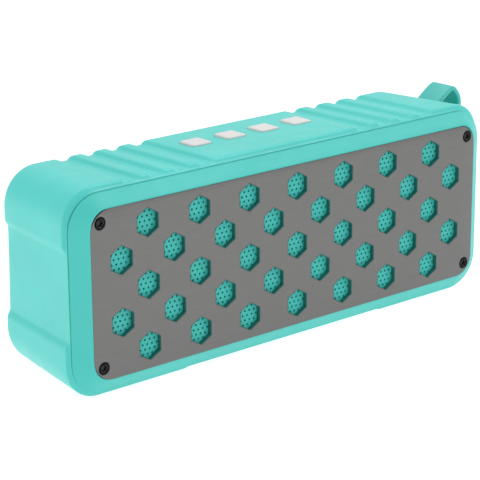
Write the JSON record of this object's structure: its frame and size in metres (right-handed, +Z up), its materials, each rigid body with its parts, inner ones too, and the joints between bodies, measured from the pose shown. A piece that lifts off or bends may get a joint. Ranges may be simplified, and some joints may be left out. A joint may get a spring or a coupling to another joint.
{
  "type": "portable bluetooth speaker",
  "caption": "Rugged rectangular portable speaker with a ribbed rubber jacket, a hexagon-cut metal front plate, top keys and a corner hanging loop.",
  "frame": {"origin": "middle of the base, on the plane of the two foot pads", "axes": "+X along the width to the side with the hanging loop, +Y from the front plate to the rear, +Z up"},
  "size_m": [0.1962, 0.0466, 0.0741],
  "materials": {
    "plate_metal": "fine brushed, satin",
    "black_screw": "black oxide, satin",
    "bezel_plastic": "soft-touch satin",
    "cloth": "woven acoustic cloth",
    "jacket_rubber": "smooth satin silicone rubber",
    "housing_plastic": "fine texture",
    "cover_plastic": "fine texture",
    "seal_rubber": "foam",
    "zinc": "zinc plated",
    "frame_steel": "black satin",
    "surround_rubber": "satin",
    "paper_cone": "pressed paper",
    "copper": "enamelled copper wire",
    "spider_cloth": "treated cloth",
    "motor_steel": "zinc plated",
    "magnet": "nickel plated",
    "key_plastic": "satin white",
    "board_green": "solder mask",
    "parts_metal": "tinned",
    "cable_film": "flat cable film",
    "chip_black": "moulded",
    "cap_sleeve": "sleeve",
    "cell_wrap": "shrink wrap",
    "flap_rubber": "satin",
    "lens_clear": "clear"
  },
  "bodies": {
    "speaker": {"front_plate": "plate_metal", "plate_screws": "black_screw", "front_panel": "bezel_plastic", "grille_cloth": "cloth", "jacket": "jacket_rubber", "housing": "housing_plastic", "baffle": "housing_plastic", "baffle_screws": "zinc", "rear_cover": "cover_plastic", "rear_seal": "seal_rubber", "rear_screws": "black_screw", "frame_left": "frame_steel", "gasket_left": "seal_rubber", "surround_left": "surround_rubber", "spider_left": "spider_cloth", "yoke_left": "motor_steel", "magnet_left": "magnet", "pole_plate_left": "motor_steel", "frame_right": "frame_steel", "gasket_right": "seal_rubber", "surround_right": "surround_rubber", "spider_right": "spider_cloth", "yoke_right": "motor_steel", "magnet_right": "magnet", "pole_plate_right": "motor_steel", "driver_screws": "zinc", "radiator_frame": "housing_plastic", "radiator_surround": "surround_rubber", "key_mat": "seal_rubber", "key_board": "board_green", "key_switches": "parts_metal", "key_board_screws": "zinc", "ribbon_cable": "cable_film", "main_board": "board_green", "board_screws": "zinc", "radio_module": "parts_metal", "amplifier_chip": "chip_black", "capacitors": "cap_sleeve", "battery": "cell_wrap", "battery_holder": "housing_plastic", "battery_foam": "seal_rubber", "usb_socket": "parts_metal", "card_socket": "parts_metal", "aux_jack": "chip_black", "led_lens": "lens_clear", "strap_loop": "jacket_rubber"},
    "key_power_cap": {"key_power": "key_plastic"},
    "key_minus_cap": {"key_minus": "key_plastic"},
    "key_play_cap": {"key_play": "key_plastic"},
    "key_plus_cap": {"key_plus": "key_plastic"},
    "diaphragm_left": {"cone_left": "paper_cone", "dust_cap_left": "paper_cone", "voice_coil_left": "copper"},
    "diaphragm_right": {"cone_right": "paper_cone", "dust_cap_right": "paper_cone", "voice_coil_right": "copper"},
    "radiator_mass": {"radiator_plate": "frame_steel"},
    "flap": {"port_flap": "flap_rubber"}
  },
  "joints": [
    {"name": "key_power_press", "type": "slide", "parent": "speaker", "child": "key_power_cap", "axis": [0, 0, -1], "range_m": [0, 0.0005], "stiffness_N_per_m": 1500, "springref_m": -0.0003},
    {"name": "key_minus_press", "type": "slide", "parent": "speaker", "child": "key_minus_cap", "axis": [0, 0, -1], "range_m": [0, 0.0005], "stiffness_N_per_m": 1500, "springref_m": -0.0003},
    {"name": "key_play_press", "type": "slide", "parent": "speaker", "child": "key_play_cap", "axis": [0, 0, -1], "range_m": [0, 0.0005], "stiffness_N_per_m": 1500, "springref_m": -0.0003},
    {"name": "key_plus_press", "type": "slide", "parent": "speaker", "child": "key_plus_cap", "axis": [0, 0, -1], "range_m": [0, 0.0005], "stiffness_N_per_m": 1500, "springref_m": -0.0003},
    {"name": "diaphragm_left_move", "type": "slide", "parent": "speaker", "child": "diaphragm_left", "axis": [0, 1, 0], "range_m": [-0.0015, 0.0015], "stiffness_N_per_m": 1200},
    {"name": "diaphragm_right_move", "type": "slide", "parent": "speaker", "child": "diaphragm_right", "axis": [0, 1, 0], "range_m": [-0.0015, 0.0015], "stiffness_N_per_m": 1200},
    {"name": "radiator_move", "type": "slide", "parent": "speaker", "child": "radiator_mass", "axis": [0, 1, 0], "range_m": [-0.002, 0.002], "stiffness_N_per_m": 900},
    {"name": "flap_hinge", "type": "hinge", "parent": "speaker", "child": "flap", "pos_m": [0, 0.02225, 0.0106], "axis": [-1, 0, 0], "range_deg": [0, 120]}
  ]
}
